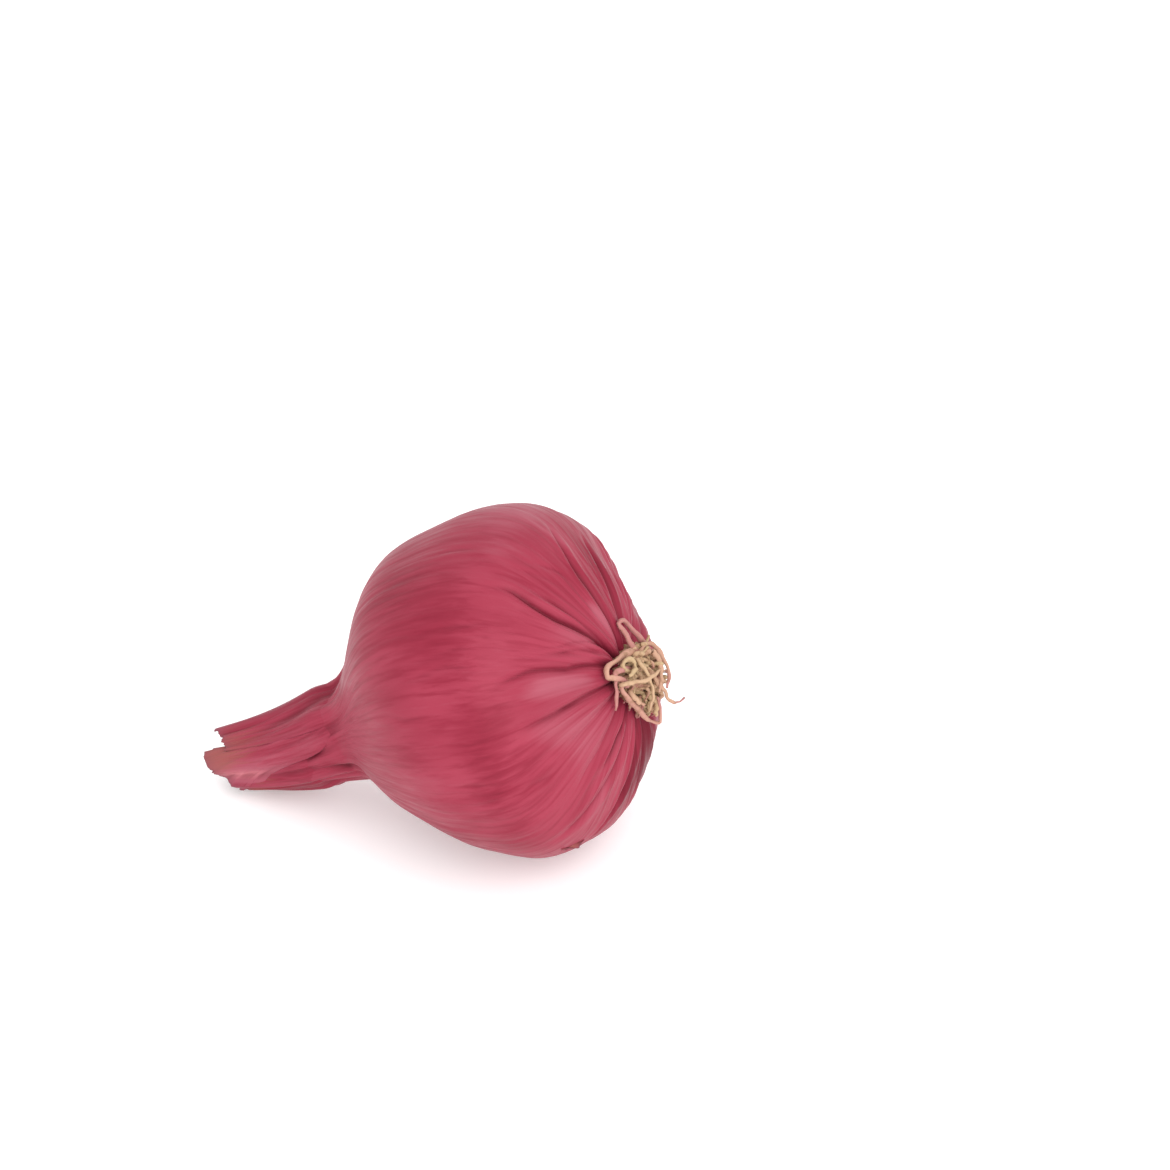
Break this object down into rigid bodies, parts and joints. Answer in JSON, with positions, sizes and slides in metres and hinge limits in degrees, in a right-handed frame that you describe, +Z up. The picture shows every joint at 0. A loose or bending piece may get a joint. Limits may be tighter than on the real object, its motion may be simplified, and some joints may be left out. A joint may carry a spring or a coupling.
{
  "type": "red onion",
  "caption": "Red onion lying on its side, with papery skin pleated towards a tuft of dried roots and a drooping dried neck with torn leaf ends.",
  "frame": {"origin": "on the table under the middle of the onion's bounding box", "axes": "+X level, towards the root end, which is raised a little; the dried neck trails towards -X down to the table; +Z up"},
  "size_m": [0.093, 0.0658, 0.065],
  "materials": {
    "skin": "satin",
    "roots": "matte"
  },
  "bodies": {
    "root": {"bulb": "skin", "root_tuft": "roots"}
  },
  "joints": []
}
